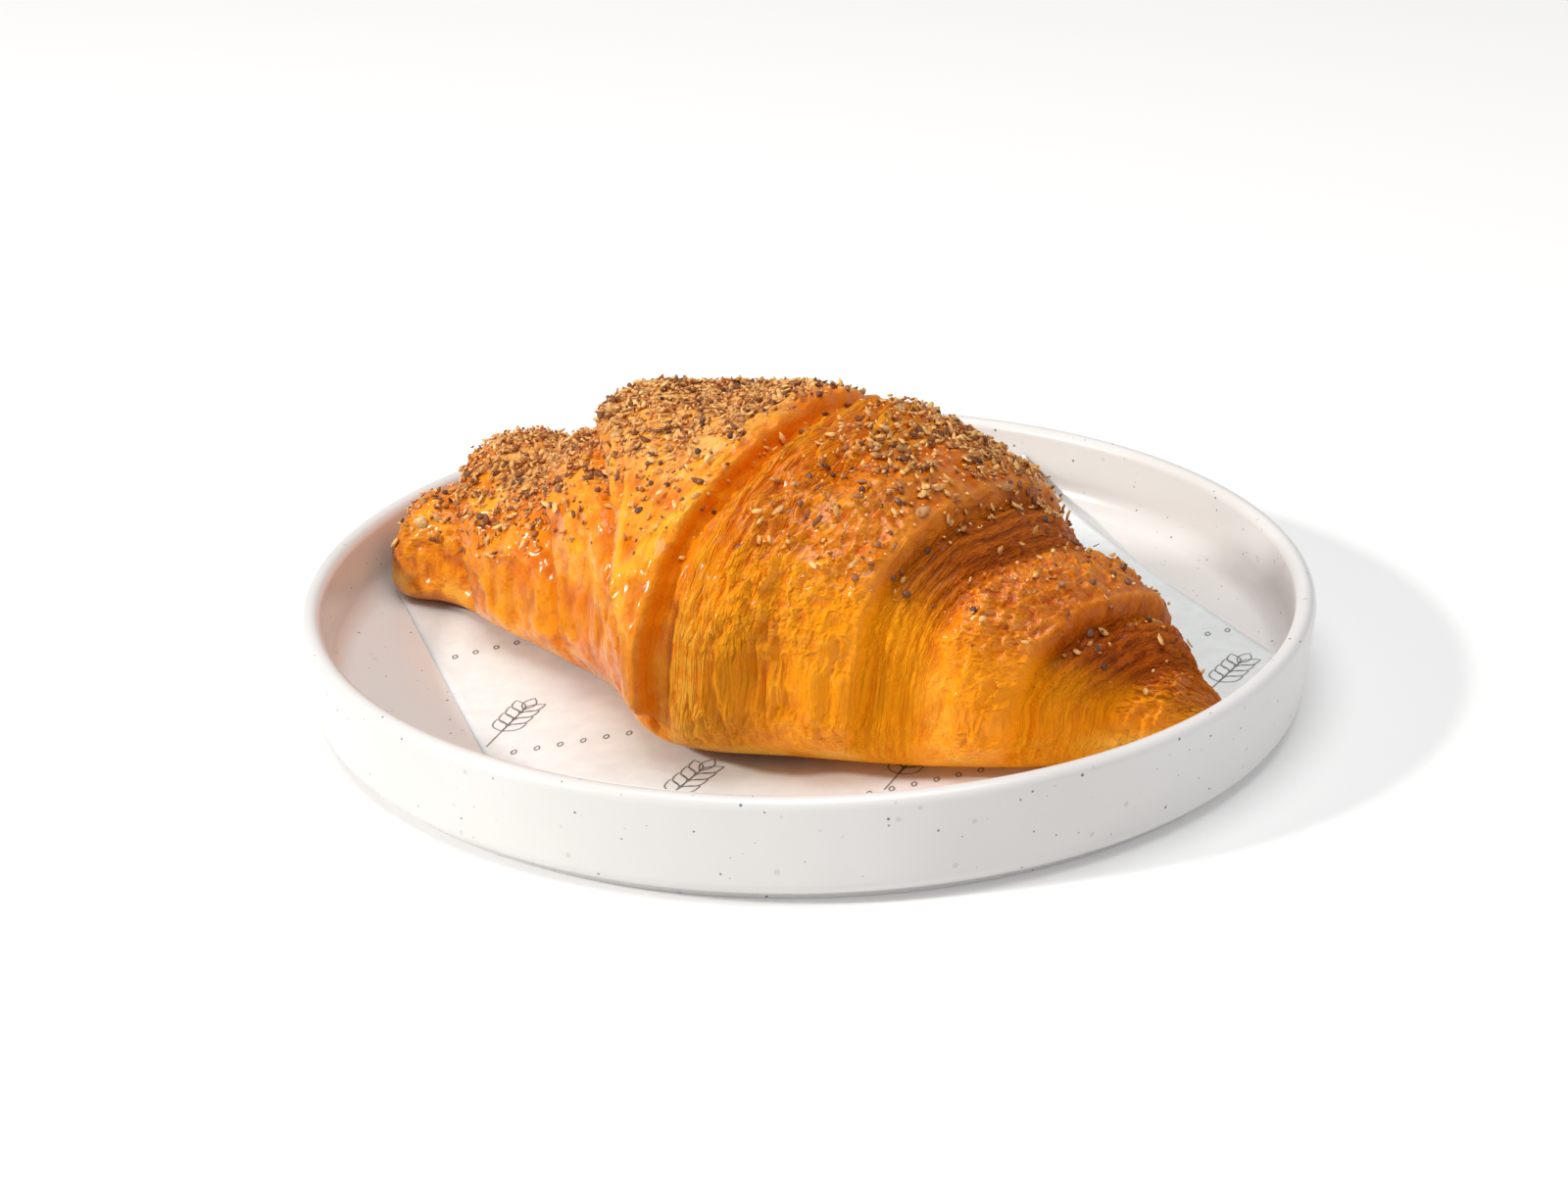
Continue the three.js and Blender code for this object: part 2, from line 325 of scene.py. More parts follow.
turned = bmesh.new()
rim = [turned.verts.new((r, 0, z)) for r, z in outline]
edges = [turned.edges.new(pair) for pair in zip(rim, rim[1:])]
bmesh.ops.spin(turned, geom=rim + edges, cent=(0, 0, 0), axis=(0, 0, 1), angle=2 * math.pi,
               steps=160, use_merge=True)
bmesh.ops.remove_doubles(turned, verts=turned.verts, dist=0.001 * MM)
bmesh.ops.recalc_face_normals(turned, faces=turned.faces)
plate = finish_piece("stoneware_plate", turned, stoneware(), ["plate"])
print("plate, mm:", [round(c / MM, 1) for c in plate.dimensions])

# %% [markdown]
# ## Greaseproof paper
#
# The sheet lies on the floor of the well. Its sides are cut straight; its front is tucked up the
# wall. A flat grid is the cut sheet, and each of its points is carried along: flat on the floor,
# round a soft bend, then up the wall. A point keeps its distance from the middle of the plate along
# this path, so the paper hardly stretches. The free corner at the back right curls up, and faint
# waves run through the sheet. Two back corners and the directions of the sides, in degrees from
# straight forwards, give its outline; its front edge lies on a circle about the plate's middle.

# %% Shape of the sheet
PAPER_THICKNESS = 0.1 * MM
BACK_LEFT, BACK_RIGHT = np.array((-90, 46)) * MM, np.array((50, 84)) * MM
LEFT_TURN, RIGHT_TURN = 17.3, 24.5
REACH = 104 * MM
BEND, FRONT_BEND = 5 * MM, 9 * MM
FRONT = math.radians(-110)
WAVE = 0.25 * MM
CORNER_LIFT, CORNER_LENGTH = 5 * MM, 60 * MM
PAPER_WALL = INNER_RADIUS - 0.6 * MM
LIES_ON = FLOOR_TOP + 0.15 * MM


def flat_sheet(u, v):
    """Points of the cut sheet: u runs from its left side to its right one, v from back to front."""
    start = BACK_LEFT + np.outer(u, BACK_RIGHT - BACK_LEFT)
    turn = np.radians(LEFT_TURN + (RIGHT_TURN - LEFT_TURN) * u)
    heading = np.stack([np.sin(turn), -np.cos(turn)], 1)
    half = (start * heading).sum(1)
    length = np.sqrt(half**2 - (start**2).sum(1) + REACH**2) - half
    return start + heading * (length * v)[:, None]


def laid(flat, above=0.0):
    """Carries flat points onto the plate's floor and up its wall, a little above the sheet."""
    radius, angle = np.hypot(*flat.T), np.arctan2(flat[:, 1], flat[:, 0])
    front = np.maximum(0, np.cos(angle - FRONT))
    bend = BEND + FRONT_BEND * front**4
    start = PAPER_WALL - bend
    turned = np.clip((radius - start) / bend, 0, math.pi / 2)
    climbed = np.maximum(0, radius - start - bend * math.pi / 2)
    arm = bend - above
    out = np.where(turned > 0, start + arm * np.sin(turned), radius)
    corner = np.hypot(*(flat - BACK_RIGHT).T) / CORNER_LENGTH
    lift = CORNER_LIFT * np.maximum(0, 1 - corner) ** 1.5
    wavy = WAVE * np.sin(flat[:, 0] / (17 * MM) + 1) * np.sin(flat[:, 1] / (23 * MM))
    up = bend - arm * np.cos(turned) + climbed + lift + np.maximum(0, wavy)
    return np.stack([out * np.cos(angle), out * np.sin(angle), LIES_ON + up], 1)


# %% [markdown]
# ## Finish of the paper
#
# Greaseproof paper is matte and slightly warm, with a faint cloudy formation. It is thin enough to
# let some light through, which a little subsurface scattering stands for.

# %% Paper material
def greaseproof():
    shader = Shader("greaseproof_paper", Roughness=0.62, Subsurface_Weight=0.15,
                    Subsurface_Scale=1.5 * MM, Specular_IOR_Level=0.35)
    cloud = shader.noise(260, detail=4)
    colour = shader.mix(cloud.ramp(0.3, 0.75), (0.80, 0.785, 0.775), (0.86, 0.85, 0.84))
    crinkle = shader.noise(90, detail=3)
    return shader.surface(Base_Color=colour, Normal=shader.bump(crinkle, 0.25 * MM, 0.25))


# %% [markdown]
# ## The sheet itself
#
# A fine grid is the flat sheet, and `laid` carries its points. A mesh hands over all its points at
# once as an array, which is much faster than a loop over them. Solidify gives the paper its
# thickness.


def read_points(mesh):
    points = np.empty(len(mesh.vertices) * 3)
    mesh.vertices.foreach_get("co", points)
    return points.reshape(-1, 3)


def write_points(mesh, points):
    mesh.vertices.foreach_set("co", points.ravel())
    mesh.update()


sheet = bmesh.new()
bmesh.ops.create_grid(sheet, x_segments=90, y_segments=110, size=0.5)
sheet_mesh = bpy.data.meshes.new("greaseproof_sheet")
sheet.to_mesh(sheet_mesh)
sheet.free()
grid = read_points(sheet_mesh)
write_points(sheet_mesh, laid(flat_sheet(grid[:, 0] + 0.5, 0.5 - grid[:, 1])))
paper = finish_piece("greaseproof_sheet", sheet_mesh, greaseproof(), ["liner_paper"])
wall = paper.modifiers.new("thickness", "SOLIDIFY")
wall.thickness = PAPER_THICKNESS
wall.offset = 1
print("sheet, mm:", [round(c / MM, 1) for c in paper.dimensions])

# %% [markdown]
# ## Print on the paper
#
# The paper carries a plain grey print: outlined ears of grain, and rows of single grains between
# them. Each line is drawn flat, in millimetres, then widened into a thin strip and carried onto the
# paper by `laid`, so that the print follows the sheet wherever it bends. An ear is given by its
# place and its heading in degrees, a row by its two ends.

# %% Printed ears of grain
INK_WIDTH, GRAIN_LENGTH, ROW_STEP = 0.3, 5.5, 4.5
EARS = ((-57, -32, 70), (-23, -60, 62), (18, -54, 66), (82, -17, 60), (54, 34, 66), (20, 54, 62))
ROWS = ((-71, -2, -58, 5), (-56, -47, -32, -39), (6, -69, 40, -55), (80, 1, 85, 3),
        (28, 45, 54, 57))


def grain(base, heading, length):
    """The outline of one grain, as a closed line."""
    t = np.linspace(0, 1, 8)
    half = np.stack([length * t, 0.24 * length * np.sin(math.pi * t)], 1)
    c, s = math.cos(heading), math.sin(heading)
    return base + np.concatenate([half, half[-2::-1] * (1, -1)]) @ np.array(((c, s), (-s, c)))


def ear(x, y, turn):
    """The lines of one ear: a stem, pairs of grains along it and one at its end."""
    heading = math.radians(turn)
    along = np.array((math.cos(heading), math.sin(heading)))
    lines = [(x, y) + np.outer(np.linspace(-12, 5, 12), along)]
    lines += [grain((x, y) + along * at, heading + side, GRAIN_LENGTH)
              for at in (-5, -2, 1, 4) for side in (-0.6, 0.6)]
    return lines + [grain((x, y) + along * 5, heading, GRAIN_LENGTH)]


def row(x, y, end_x, end_y):
    """Small single grains from one place to another."""
    length, heading = math.hypot(end_x - x, end_y - y), math.atan2(end_y - y, end_x - x)
    return [grain(np.array((x, y)) + at / length * np.array((end_x - x, end_y - y)), heading + 1, 2)
            for at in np.arange(0, length, ROW_STEP)]


strips, strip_faces = [], []
for line in [line for e in EARS for line in ear(*e)] + [line for r in ROWS for line in row(*r)]:
    tangent = np.gradient(line, axis=0)
    tangent /= np.linalg.norm(tangent, axis=1, keepdims=True)
    side = tangent[:, ::-1] * (-1, 1) * INK_WIDTH / 2
    first = sum(len(strip) for strip in strips)
    strips.append(np.stack([line + side, line - side], 1).reshape(-1, 2) * MM)
    strip_faces += [(first + i, first + i + 1, first + i + 3, first + i + 2)
                    for i in range(0, 2 * len(line) - 2, 2)]
ink_mesh = bpy.data.meshes.new("printed_grain")
ink_mesh.from_pydata(laid(np.concatenate(strips), PAPER_THICKNESS + 0.05 * MM), [], strip_faces)
ink = Shader("grey_ink", Roughness=0.6)
ink_look = ink.surface(Base_Color=ink.mix(ink.noise(900).ramp(0.3, 0.7), (0.17,) * 3, (0.30,) * 3))
ink_piece = finish_piece("printed_grain", ink_mesh, ink_look)
ink_piece.modifiers.new("thickness", "SOLIDIFY").thickness = 0.02 * MM
print("printed lines:", len(strips))

# %% [markdown]
# ## The rolled dough
#
# A croissant is a long triangle of layered dough, rolled up from its short side. Its widest wrap
# ends in the middle, and each wrap before it is narrower, so the edges of the sheet run round the
# roll as slanting steps: those on the left step up towards the middle and those on the right step
# down from it. The shape is therefore given by a place `s` along the roll's axis, in millimetres,
# and an angle round it: 0 at the back, 90 on top, 180 at the front. `section` runs a smooth curve
# through a few sections, and a superellipse, round above and flat below, makes each of them. Its
# widest level is the belly, and the cap rounds off and lifts the last stretch at each tip. Near the
# middle the roll spreads towards its foot: the toe share takes width away above it.

# %% Axis and sections
TIP_A, TIP_B = np.array((-86.0, 38.0)), np.array((77.0, -52.0))
ROLL_LENGTH = float(np.hypot(*(TIP_B - TIP_A)))
AXIS = (TIP_B - TIP_A) / ROLL_LENGTH
ACROSS = np.array((-AXIS[1], AXIS[0]))
BREAD_BASE = (LIES_ON + PAPER_THICKNESS) / MM + 0.05
CAP, CAP_LIFT = 11, 5
BELLY = 0.42  # share of the height
MEAN_RADIUS = 38  # turns an angle into millimetres round the roll
UPPER_POWER, LOWER_POWER = 2.3, 4.5
TOE_AT, TOE_LENGTH, TOE_SHARE = 93, 13, 0.13

SECTIONS = np.array([  # place along the axis, height, half width, shift towards the back
    (0, 19, 13, 1),
    (19, 28, 20.5, 10),
    (38, 32.5, 26.6, 7.3),
    (57, 46, 31.3, 2.9),
    (72, 51, 34.7, -1),
    (95, 55.5, 46, -8.5),
    (120, 56, 37.5, -10.5),
    (142, 43, 32, -7),
    (157, 33, 23, -6.5),
    (168, 26.5, 15.5, -5),
    (187, 14.5, 4, 0.5),
])


def section(column, s):
    """A smooth curve through one column of SECTIONS."""
    at, value = SECTIONS[:, 0], SECTIONS[:, column]
    slope = np.gradient(value, at)
    i = np.clip(np.searchsorted(at, s, side="right") - 1, 0, len(at) - 2)
    span = at[i + 1] - at[i]
    t = (s - at[i]) / span
    return ((2 * t**3 - 3 * t**2 + 1) * value[i] + (t**3 - 2 * t**2 + t) * span * slope[i]
            + (3 * t**2 - 2 * t**3) * value[i + 1] + (t**3 - t**2) * span * slope[i + 1])


def power(value, exponent):
    return np.sign(value) * np.abs(value) ** exponent


def smooth(value, low, high):
    """0 below low, 1 above high, smooth between."""
    t = np.clip((value - low) / (high - low), 0, 1)
    return t * t * (3 - 2 * t)


def bump_at(value, centre, width):
    return np.exp(-(((value - centre) / width) ** 2))


def roll_point(s, angle, out, slide=0):
    """The point at s and angle, moved out of the smooth roll and slid along it, in millimetres."""
    from_tip = np.minimum(s, ROLL_LENGTH - s)
    cap = np.sqrt(1 - np.clip((CAP - from_tip) / CAP, 0, 1) ** 2)
    height = section(1, s) * cap
    belly = BELLY * height
    rise = np.sin(angle)
    round_power = 2 / np.where(rise > 0, UPPER_POWER, LOWER_POWER)
    side, up = power(np.cos(angle), round_power), power(rise, round_power)
    above_toe = smooth(rise, 0.15, 0.7) * bump_at(s, TOE_AT, TOE_LENGTH)
    half = section(2, s) * cap * (1 - TOE_SHARE * above_toe)
    off = section(3, s) + side * (half + out)
    z = belly + up * np.where(up > 0, height - belly + out, belly) + (1 - cap) * CAP_LIFT
    foot = TIP_A + np.outer(s + slide, AXIS) + np.outer(off, ACROSS)
    return np.column_stack([foot, BREAD_BASE + z]), cap


# %% [markdown]
# ## Noise that is the same on every run
#
# The crust needs lumps, wrinkles and torn edges. `noise` gives smooth random values from -1 to 1:
# it hashes the corners of the cell around each point with a sine, and blends between them. It has
# no state, so the same place always has the same value.

# %% Noise
def noise(points, size, seed, octaves=1):
    total, weight = 0, 1
    for octave in range(octaves):
        place = points / size * 2**octave + 31.7 * (seed + 3 * octave)
        cell = np.floor(place)
        t = place - cell
        t = t * t * (3 - 2 * t)
        for corner in itertools.product((0, 1), repeat=points.shape[1]):
            wave = np.sin((cell + corner) @ np.array((127.1, 311.7, 74.7))[:len(corner)] + seed)
            hashed = np.modf(np.abs(wave) * 43758.5453)[0]
            share = np.prod(np.where(corner, t, 1 - t), axis=1)
            total = total + weight * hashed * share
        weight /= 2
    return total / (1 - 0.5**octaves) - 1


# %% [markdown]
# ## Edges, leaves and ridges
#
# Each edge of a wrap, and the soft fold after each of the last two, is given by its place along the
# roll, by how far it slants from there as it runs round, and by its height or depth. `edge_step` is
# one such edge: it climbs sharply and sinks back slowly. Where the roll was cut across its layers,
# beside the three falling edges, the dough opens into a stair of thin leaves: `leaves` counts along
# such a slope, and each leaf lifts to a lip of its own. The thin outer skin wrinkles along the
# wraps; `crests` turns noise into such narrow ridges.

# %% Edges of the wraps
RISING = ((20, 9.5, 3.8), (47.5, 16, 2.4), (66.5, 30, 3.2))  # at, slant, height, in mm
FALLING = ((99.6, -5.6, 2.5), (137, -5.8, 2.6), (163, -8, 3.2))
FOLDS = ((145.5, -6.5, 2.8), (175, -7.5, 2.6))  # at, slant, depth, in mm
STEP_RISE, STEP_REACH = 0.45, 27
EDGE_TURN = math.radians(35)


def edge_step(distance):
    """Height of an edge from 0 to 1 by the distance past it, in millimetres."""
    d = np.maximum(distance, 0)
    return (1 - np.exp(-((d / STEP_RISE) ** 2))) * np.exp(-((d / STEP_REACH) ** 2))


def terrace(level):
    """A stair for a growing level: each whole step climbs slowly and ends in a sharp lip."""
    phase = np.mod(level, 1)
    return phase**1.3 * (1 - np.exp(-(((1 - phase) / 0.12) ** 2)))


def leaves(position, count, ragged, girth):
    """A stair of thin leaves for a position from 0 to 1 along a slope, no two alike."""
    level = position * count + ragged
    leaf = np.column_stack([5.3 * np.floor(level), girth / 16])
    inside = smooth(position, 0, 0.18) * smooth(1 - position, 0, 0.25)
    return terrace(level) * inside * (0.75 + 0.7 * noise(leaf, 1, 25)), inside


def crests(points, seed):
    """Narrow ridges along lines through the noise, with finer ones on their flanks."""
    wide, thin = (1 - np.minimum(2.3 * np.abs(noise(points * scale, 1, seed + scale)), 1)
                  for scale in (1, 2))
    return wide**2 + 0.5 * thin**2 * (0.3 + wide)


def along_wraps(s, wave):
    """The place of a point along the roll, measured along lines that run with the wraps."""
    return s - np.interp(s, (20, 50, 70, 97), (9.5, 16, 24, -5.7)) * wave


print("edges, folds:", len(RISING + FALLING), len(FOLDS))

# %% [markdown]
# ## The baked crust
#
# `crust` builds up a relief on the smooth roll, in millimetres: broad lumps, the edges and folds,
# the open leaves, the wrinkles and the blisters. It fades out below, where the dough lies flat on
# the paper, and at the tips. The same steps give masks, which are stored on the mesh and steer its
# colours: lips, painted shade in the valleys and creases, painted shade and highlight along the
# relief, painted highlights past the falling edges, a painted sheen and painted light, open leaves,
# browned parts, the low and the high side.

# %% The crust
HULL_DROP = 1.3  # how much leaner the dough is before its wraps and leaves are added


def crust(s, angle, proud=0.0):
    """Points on the baked crust in millimetres, and masks by name."""
    hull, cap = roll_point(s, angle, 0)
    wave = -np.cos(angle - EDGE_TURN)
    girth = MEAN_RADIUS * angle
    torn = noise(hull, 9, 1, 2)
    nicks = noise(np.column_stack([s, girth]), 2.6, 21)
    front = smooth(angle, math.radians(95), math.radians(130))
    out = 1.0 * noise(hull, 26, 2) + 0.7 * noise(hull, 10, 3) - HULL_DROP
    lip, edge_highlight, crease_shade, slide = 0, 0, 0, 0

    # Painted shade: one mask gathers a darker band in the crease beside each edge and fold.
    for edges, way in ((RISING, 1), (FALLING, -1)):
        for at, slant, height in edges:
            past = way * (s - at - slant * wave) + 0.9 * torn + 0.3 * nicks
            out += height * edge_step(past)
            slide -= way * 0.2 * height * bump_at(past, 0.4, 0.7)
            if way > 0:
                out += 0.4 * bump_at(past, 0.9, 0.9) - 0.8 * height * bump_at(past, -3.0, 4.0)
                lip += bump_at(past, 0.8, 0.9)
                crease_shade += 0.9 * bump_at(past, -2.0, 2.8)
            else:
                out -= 0.5 * height * bump_at(past, -1.4, 1.8)
                # Painted highlight: a thin bright line just past each falling edge.
                edge_highlight += bump_at(past, 1.2, 0.5) * (0.2 if at < 100 else 1)
                crease_shade += bump_at(past, -0.5, 1.2) * height / 2.6
    for at, slant, depth in FOLDS:
        past = s - at - slant * wave + 0.6 * torn
        out -= depth * bump_at(past, 0, 5)
        crease_shade += 0.5 * bump_at(past, 0, 3) * depth / 2.6

    # Open leaves: a stair towards each fold on the right, and ragged ridges beside the middle edge.
    ragged = 0.6 * noise(np.column_stack([s * 0.6, girth * 0.25]), 4, 5, 2)
    ragged += 0.22 * noise(np.column_stack([s, girth * 0.7]), 2.4, 22)
    fine, opened, leafy, browned = 0, 0, 0, 0
    left_end = smooth(s, 12, 2) * smooth(angle, math.radians(130), math.radians(160))
    toasted = 0.5 * smooth(s, 143, 152) + 0.7 * smooth(s, 169, 178) + left_end
    upper_front = smooth(angle, math.radians(140), math.radians(100))
    baked = (smooth(angle, math.radians(165), math.radians(120)),
             smooth(angle, math.radians(178), math.radians(155)))
    calm = 0.7 * noise(np.column_stack([s * 0.4, girth * 0.15]), 4, 5, 2) + 0.12 * nicks
    for i, (count, lift) in enumerate(((7, 0.9), (8, 1.1))):
        start, end = (at + slant * wave for at, slant, _ in (FALLING[i + 1], FOLDS[i]))
        stair, inside = leaves((s - start + 2) / (end - start + 5), count, calm, girth)
        fine += lift * stair
        opened, leafy, browned = opened + stair, leafy + inside, browned + inside * baked[i]
        toasted += smooth(s, start - 15, start - 2) * smooth(s, start + 2, start) * upper_front
    start = FALLING[0][0] + FALLING[0][1] * wave
    toasted += 0.7 * bump_at(s - start, -5, 5) * smooth(angle, math.radians(148), math.radians(165))
    beyond = s - start - 3
    upper = smooth(angle, math.radians(45), math.radians(75))
    strength = upper * (0.85 + 0.4 * noise(hull, 9, 6)) * smooth(s, start + 26, start + 15)
    stair, inside = leaves(1 - beyond / 24, 9, ragged * 1.7, girth)
    fine_stair, _ = leaves(1 - (beyond + 4) / 28, 27, ragged * 3.5, girth)
    fine += (3.2 * stair + 0.8 * fine_stair) * strength
    fine += 0.45 * noise(np.column_stack([s / 1.2, girth / 2.6]), 1, 29) * inside * strength
    foot = smooth(angle, math.radians(150), math.radians(178))
    out -= (0.9 + 3.8 * foot) * bump_at(s - start, 4.0, 3.2) + 3 * foot * bump_at(s, 145, 3)
    out += 1.7 * foot * noise(np.column_stack([s, 0.2 * girth]), 7, 30, 2)
    opened, leafy = opened + stair * strength, leafy + 0.8 * inside * strength
    crease_shade += 0.8 * bump_at(s - start, 2.0, 1.8) * (1 - 0.7 * foot)
    threads = noise(np.column_stack([(s - start) / 0.9, girth / 12]), 1, 33)
    fine += 0.9 * threads * bump_at(s - start, 5, 3.5) * upper
    rim_lines = crests(np.column_stack([(s - start) / 2.4, girth / 26]), 40)
    fine += 0.8 * rim_lines * bump_at(s - start, -4, 3.5) * upper
    leafy += 0.5 * bump_at(s - start, 5, 3.5) * upper

    # Wrinkled skin: torn sheets and crinkles in the middle, pleats on the left, dimples elsewhere.
    skin = np.column_stack([along_wraps(s, wave), girth * 0.6])
    warp = np.column_stack([noise(hull, 6, 23), noise(hull, 6, 26)])
    crease = crests(skin / 2.1 + 0.8 * warp, 8)
    sheets = terrace(3.0 * noise(skin, 6, 27, 2) - skin[:, 0] / 4)
    middle = smooth(s, start + 9, start + 16) * smooth(s, 141, 131) * front
    across = smooth(s, 140, 150) * smooth(s, 172, 160)
    plain = 0.25 + 0.45 * smooth(s, 166, 172)
    crinkled = np.maximum(middle, 0.6 * across + plain * (1 - np.minimum(leafy, 1)))
    crinkled *= 0.85 + 0.6 * noise(hull, 12, 28)
    fine += (1.0 * crease + 1.25 * sheets) * crinkled
    usual = 0.05 + 0.9 * crinkled + 1.3 * inside * strength
    pleat = crests(np.column_stack([(s - 22 * wave) / 4.5, girth / 40]), 9)
    edge = RISING[2][0] + RISING[2][1] * wave
    left = bump_at(s - edge, 3, 6) * smooth(s, start - 2, start - 8) * (0.35 + 0.65 * front)
    fine += 1.0 * pleat * left
    blisters = 0.7 * noise(hull, 4.5, 10, 2) + 0.45 * noise(hull, 2.1, 12)
    fine += blisters * (1 - 0.6 * np.minimum(leafy, 1))
    dent = np.exp(-((s - 119) / 4) ** 2 - ((girth - MEAN_RADIUS * math.radians(112)) / 6) ** 2)
    out += fine - 3.2 * dent

    fade = np.clip(np.sin(angle) * 2 + 1.2, 0, 1) * cap * (0.3 + 0.7 * cap)
    points, _ = roll_point(s, angle, out * fade + proud, slide * fade)
    low_front = smooth(angle, math.radians(135), math.radians(162))
    high = smooth(angle, math.radians(115), math.radians(75))
    later = 0.55 * smooth(s, 97, 112) + 0.45 * smooth(s, 138, 150)
    masks = {
        # The second mask on the next line is painted shade in the valleys, creases and the dent.
        "lip": lip, "crease_shade": crease_shade + 0.9 * dent, "opened": opened, "leafy": leafy,
        # The last mask on the next line is painted shade in the hollows and painted highlight on the
        # crests.
        "browned": browned, "toasted": toasted, "relief_shading": np.clip(0.5 + (fine - usual) / 2.2, 0, 1),
        "low": smooth(points[:, 2], BREAD_BASE + 9, BREAD_BASE + 0.5),
        "top": smooth(angle, math.radians(150), math.radians(75)) * smooth(s, 60, 105),
        # A painted sheen: the next mask makes the upper front of the left wraps paler.
        "painted_sheen": smooth(angle, math.radians(148), math.radians(112)) * smooth(s, 16, 30)
        * smooth(s, start - 1, start - 9),
        # Painted light: the next mask brightens the low right front.
        "painted_glow": low_front * smooth(s, 98, 110),
        "lit_low": low_front * smooth(s, 110, 145) * smooth(s, 176, 155),
        "cream": foot * (bump_at(s - start, 9, 6) + bump_at(s, 145, 4)),
        "late": later * (1 - 0.6 * low_front - 0.4 * high),
        # The first mask on the next line is a painted highlight past the falling edges.
        "edge_highlight": edge_highlight, "crinkled": np.minimum(crinkled, 1),
    }
    return points * MM, masks


# %% [markdown]
# ## Mesh of the croissant
#
# A sphere has the right build: its poles become the two tips, its rings run round the roll. The
# rings lie closer at the tips, and the points of a ring lie closer on top and at the sides than
# on the flat underside, where the seam of the angles is.

# %% Croissant mesh
AROUND, ALONG = 222, 440
ball = bmesh.new()
bmesh.ops.create_uvsphere(ball, u_segments=AROUND, v_segments=ALONG, radius=1)
crust_mesh = bpy.data.meshes.new("croissant_crust")
ball.to_mesh(crust_mesh)
ball.free()


def along_roll(t):
    """The place along the roll for t from 0 to 1; the steps are shorter at the tips."""
    return ROLL_LENGTH * (0.75 * t + 0.125 * (1 - np.cos(math.pi * t)))


def round_roll(t):
    """The angle round the roll for t from 0 to 1, both underneath; the steps are shorter above."""
    wide, narrow = 0.55 * np.sin(2 * math.pi * t), 0.125 * np.sin(4 * math.pi * t)
    return 2 * math.pi * t + wide + narrow - math.pi / 2


sphere = read_points(crust_mesh)
ring = np.arccos(np.clip(-sphere[:, 2], -1, 1)) / math.pi
turn = round_roll(np.mod(np.arctan2(sphere[:, 1], sphere[:, 0]) / (2 * math.pi) + 0.25, 1))
place_s = along_roll(ring)
crust_points, crust_masks = crust(place_s, turn)
write_points(crust_mesh, crust_points)
for mask_name, mask in crust_masks.items():
    stored = crust_mesh.attributes.new(mask_name, "FLOAT", "POINT")
    stored.data.foreach_set("value", np.asarray(mask, dtype=np.float32))
roll_place = crust_mesh.attributes.new("roll_place", "FLOAT_VECTOR", "POINT")
wraps = np.column_stack([along_wraps(place_s, -np.cos(turn - EDGE_TURN)), MEAN_RADIUS * turn, 0 * turn])
roll_place.data.foreach_set("vector", wraps.astype(np.float32).ravel())
print("croissant points:", len(crust_points))
